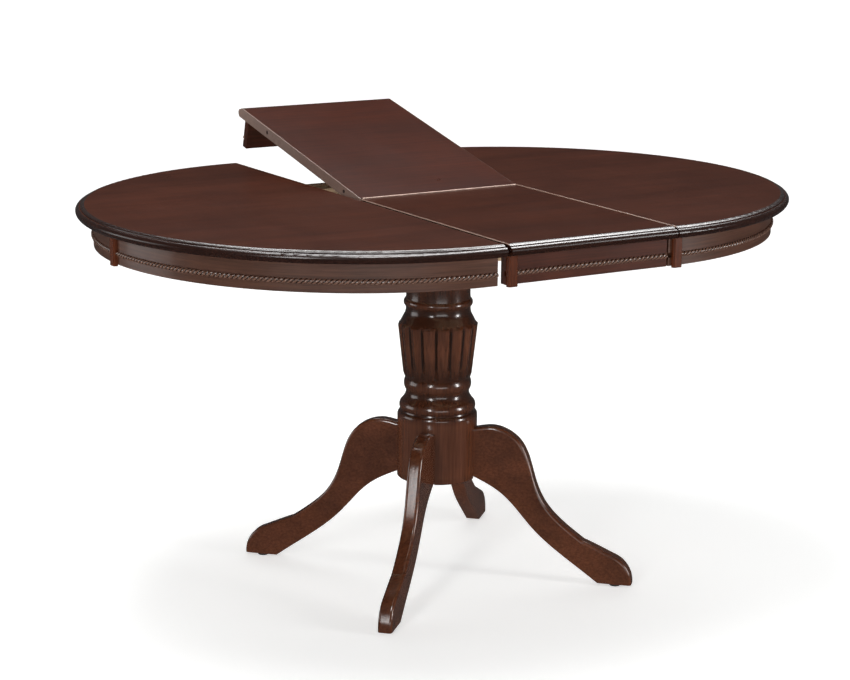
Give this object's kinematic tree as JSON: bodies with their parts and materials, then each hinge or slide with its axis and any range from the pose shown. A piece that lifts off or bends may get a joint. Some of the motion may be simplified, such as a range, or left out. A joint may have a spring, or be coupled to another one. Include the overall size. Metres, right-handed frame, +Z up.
{
  "type": "round pedestal table",
  "caption": "Round dining table on a turned pedestal with sabre legs, drawn open, with a folding leaf between its halves.",
  "frame": {"origin": "on the floor under the centre of the column", "axes": "+X the way the table is drawn open, +Y to the back where the leaf is raised, +Z up"},
  "size_m": [1.4328, 1.066, 0.8869],
  "materials": {
    "top_wood": "satin lacquered mahogany brown",
    "apron_wood": "satin lacquered mahogany brown",
    "rope_wood": "satin lacquer, dark in the twists",
    "pilaster_wood": "satin lacquered mahogany brown",
    "pedestal_wood": "gloss lacquered mahogany brown",
    "frame_wood": "plain beech, unfinished",
    "glide_plastic": "matt",
    "steel": "zinc plated",
    "gear_plastic": "smooth nylon",
    "brass": "satin"
  },
  "bodies": {
    "pedestal": {"column": "pedestal_wood", "leg_front_left": "pedestal_wood", "leg_front_right": "pedestal_wood", "leg_back_left": "pedestal_wood", "leg_back_right": "pedestal_wood", "leg_bolts": "steel", "leg_washers": "steel", "leg_nuts": "steel", "foot_glides": "glide_plastic", "column_block": "frame_wood", "block_screws": "steel", "bearer_left": "frame_wood", "bearer_right": "frame_wood", "bearer_screws": "steel", "centre_rail_front": "frame_wood", "centre_rail_back": "frame_wood", "rail_screws": "steel", "pinion_axles": "steel"},
    "left_half": {"left_apron_back": "apron_wood", "left_apron_front": "apron_wood", "left_glue_blocks": "frame_wood", "left_pilasters": "pilaster_wood", "left_pins": "brass", "left_rack_back": "gear_plastic", "left_rack_front": "gear_plastic", "left_ropes": "rope_wood", "left_slide_back": "frame_wood", "left_slide_front": "frame_wood", "left_slide_screws": "steel", "left_top": "top_wood"},
    "right_half": {"right_apron_back": "apron_wood", "right_apron_front": "apron_wood", "right_glue_blocks": "frame_wood", "right_pilasters": "pilaster_wood", "right_rack_back": "gear_plastic", "right_rack_front": "gear_plastic", "right_ropes": "rope_wood", "right_slide_back": "frame_wood", "right_slide_front": "frame_wood", "right_slide_screws": "steel", "right_top": "top_wood"},
    "pinion_front": {"pinion_front": "gear_plastic"},
    "pinion_back": {"pinion_back": "gear_plastic"},
    "leaf_front": {"leaf_front_apron": "apron_wood", "leaf_front_blocks": "frame_wood", "leaf_front_panel": "top_wood", "leaf_front_pilaster": "pilaster_wood", "leaf_front_pins": "brass", "leaf_front_rope": "rope_wood", "hinge_leaf_front": "brass", "hinge_screws_front": "steel", "hinge_pin": "brass"},
    "leaf_back": {"leaf_back_apron": "apron_wood", "leaf_back_blocks": "frame_wood", "leaf_back_panel": "top_wood", "leaf_back_pilaster": "pilaster_wood", "leaf_back_pins": "brass", "leaf_back_rope": "rope_wood", "hinge_leaf_back": "brass", "hinge_screws_back": "steel"}
  },
  "joints": [
    {"name": "left_slide", "type": "slide", "parent": "pedestal", "child": "left_half", "axis": [-1, 0, 0], "range_m": [-0.0005, 0.014]},
    {"name": "right_slide", "type": "slide", "parent": "pedestal", "child": "right_half", "axis": [1, 0, 0], "range_m": [-0.0005, 0.014]},
    {"name": "pinion_front_spin", "type": "hinge", "parent": "pedestal", "child": "pinion_front", "pos_m": [0, -0.285, 0.726], "axis": [0, 0, 1], "range_deg": [-60, 60]},
    {"name": "pinion_back_spin", "type": "hinge", "parent": "pedestal", "child": "pinion_back", "pos_m": [0, 0.285, 0.726], "axis": [0, 0, 1], "range_deg": [-60, 60]},
    {"name": "leaf_lift", "type": "slide", "parent": "pedestal", "child": "leaf_front", "axis": [0, 0, 1], "range_m": [0, 0.13]},
    {"name": "leaf_fold", "type": "hinge", "parent": "leaf_front", "child": "leaf_back", "pos_m": [0, 0, 0.7723], "axis": [1, 0, 0], "range_deg": [-12.85, 167]}
  ],
  "couplings": [
    {"joint": "right_slide", "follows": "left_slide", "ratio": 1},
    {"joint": "pinion_front_spin", "follows": "left_slide", "rad_per_m": 71.429},
    {"joint": "pinion_back_spin", "follows": "left_slide", "rad_per_m": -71.429}
  ]
}
